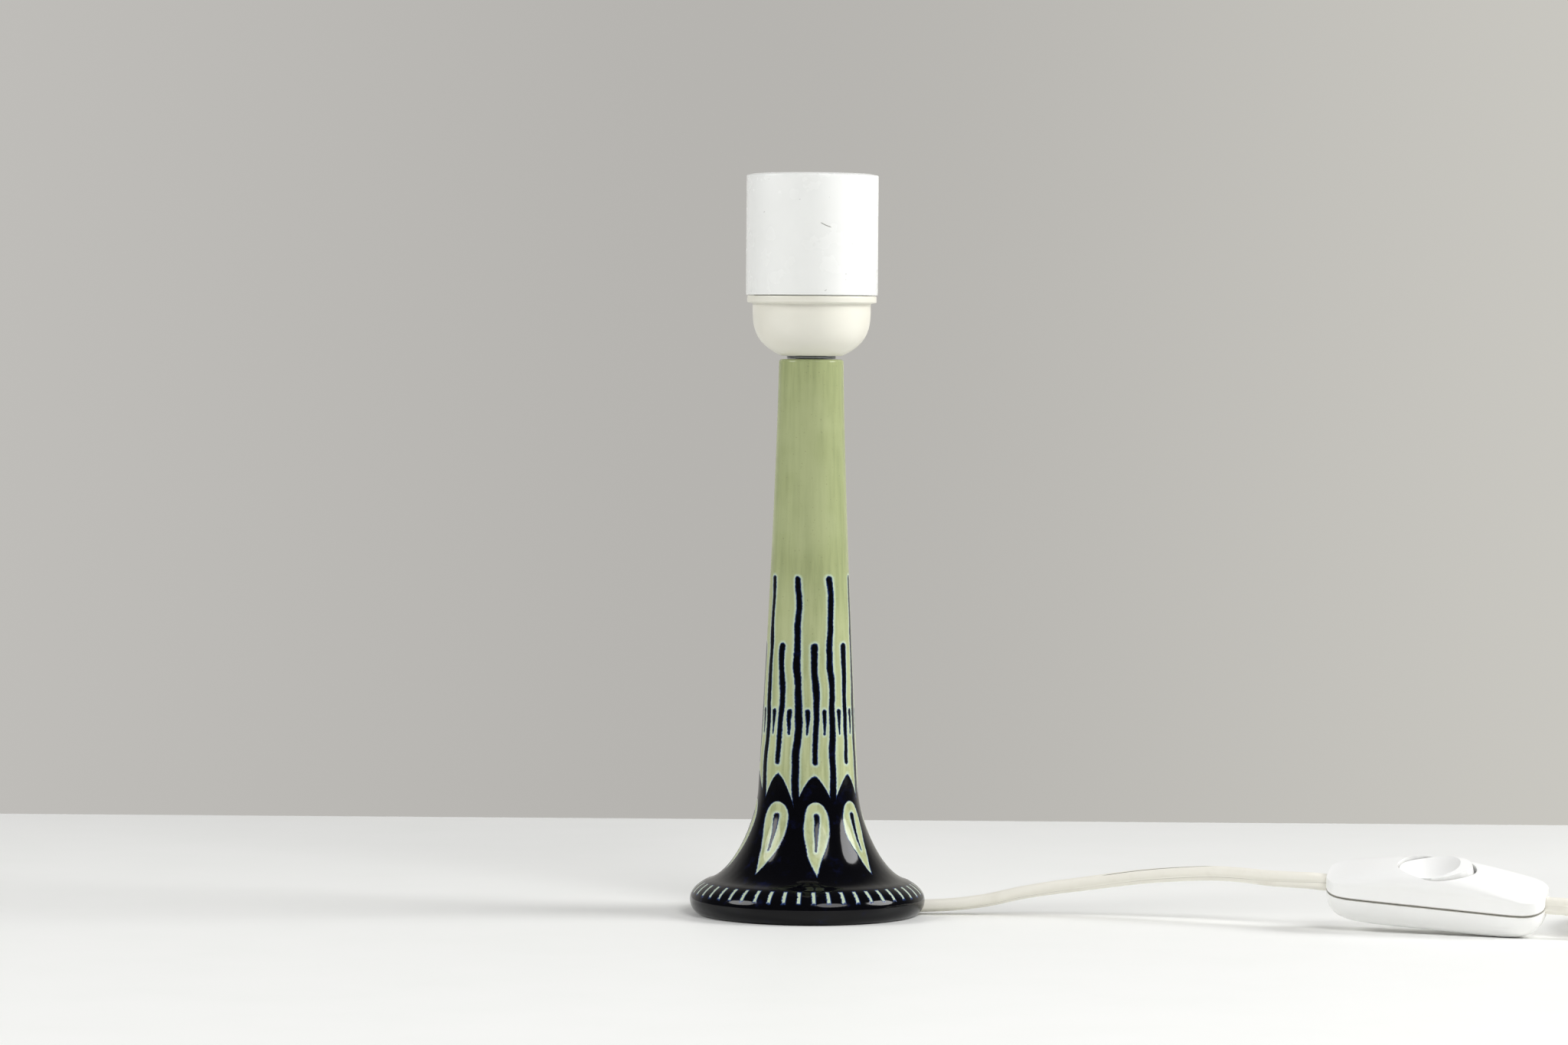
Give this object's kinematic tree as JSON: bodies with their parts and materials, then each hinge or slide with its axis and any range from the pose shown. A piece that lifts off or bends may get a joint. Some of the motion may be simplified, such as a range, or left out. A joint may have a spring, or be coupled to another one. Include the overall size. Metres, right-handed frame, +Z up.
{
  "type": "ceramic table lamp",
  "caption": "Table lamp base: hollow glazed pot with flared foot and slim stem, plastic lampholder with a round-thread shell, flat cord with in-line rocker switch and flat plug.",
  "frame": {"origin": "centre of the pot's foot ring on the table", "axes": "+Z up along the stem, +X towards the cord and switch, -Y towards the camera"},
  "size_m": [0.3772, 0.1451, 0.2362],
  "materials": {
    "ceramic_glaze": "high gloss glaze, pale green stem over a dark blue-black foot",
    "cream_plastic": "satin creamy white moulding",
    "white_plastic": "satin white moulding",
    "cord_white": "soft white sheath",
    "zinc": "zinc plated steel",
    "brass": "plain brass",
    "nickel": "nickel plated",
    "insulator": "matt moulding",
    "live_core": "brown core insulation",
    "neutral_core": "blue core insulation"
  },
  "bodies": {
    "root": {"ceramic_body": "ceramic_glaze", "holder_dome": "cream_plastic", "holder_shell": "white_plastic", "switch_base": "white_plastic", "switch_cover": "white_plastic", "plug_body": "white_plastic", "plug_relief": "white_plastic", "inner_cord": "cord_white", "cord_to_switch": "cord_white", "switch_cord_in": "cord_white", "switch_cord_out": "cord_white", "cord_to_coil": "cord_white", "cord_coil": "cord_white", "cord_to_plug": "cord_white", "threaded_tube": "zinc", "lower_washer": "zinc", "lock_nut": "zinc", "neck_washer": "zinc", "tube_grub_screw": "zinc", "terminal_screw_live": "zinc", "terminal_screw_neutral": "zinc", "switch_screw_1": "zinc", "switch_screw_2": "zinc", "live_terminal": "brass", "neutral_terminal": "brass", "centre_contact_root": "brass", "side_contact": "brass", "switch_contact_1": "brass", "switch_contact_2": "brass", "screw_shell": "nickel", "plug_pin_1": "nickel", "plug_pin_2": "nickel", "contact_block": "insulator", "cord_clamp_1": "insulator", "cord_clamp_2": "insulator", "live_wire": "live_core", "switch_live_in": "live_core", "switch_live_out": "live_core", "neutral_wire": "neutral_core", "switch_neutral_wire": "neutral_core"},
    "rocker": {"switch_rocker": "white_plastic"},
    "bridge": {"contact_bridge": "nickel"},
    "contact_leaf": {"centre_contact": "brass"}
  },
  "joints": [
    {"name": "rocker_tilt", "type": "hinge", "parent": "root", "child": "rocker", "pos_m": [0.19585, -0.0446, 0.01719], "axis": [0.3028, 0.8834, 0.3576], "range_deg": [0, 12]},
    {"name": "bridge_tilt", "type": "hinge", "parent": "root", "child": "bridge", "pos_m": [0.19615, -0.04244, 0.0116], "axis": [0.3028, 0.8834, 0.3576], "range_deg": [-7.2, 0]},
    {"name": "contact_press", "type": "hinge", "parent": "root", "child": "contact_leaf", "pos_m": [-0.00455, 0, 0.2063], "axis": [0, 1, 0], "range_deg": [0, 12], "stiffness_Nm_per_rad": 0.02, "springref_deg": -5.73}
  ],
  "couplings": [
    {"joint": "bridge_tilt", "follows": "rocker_tilt", "ratio": -0.6}
  ]
}
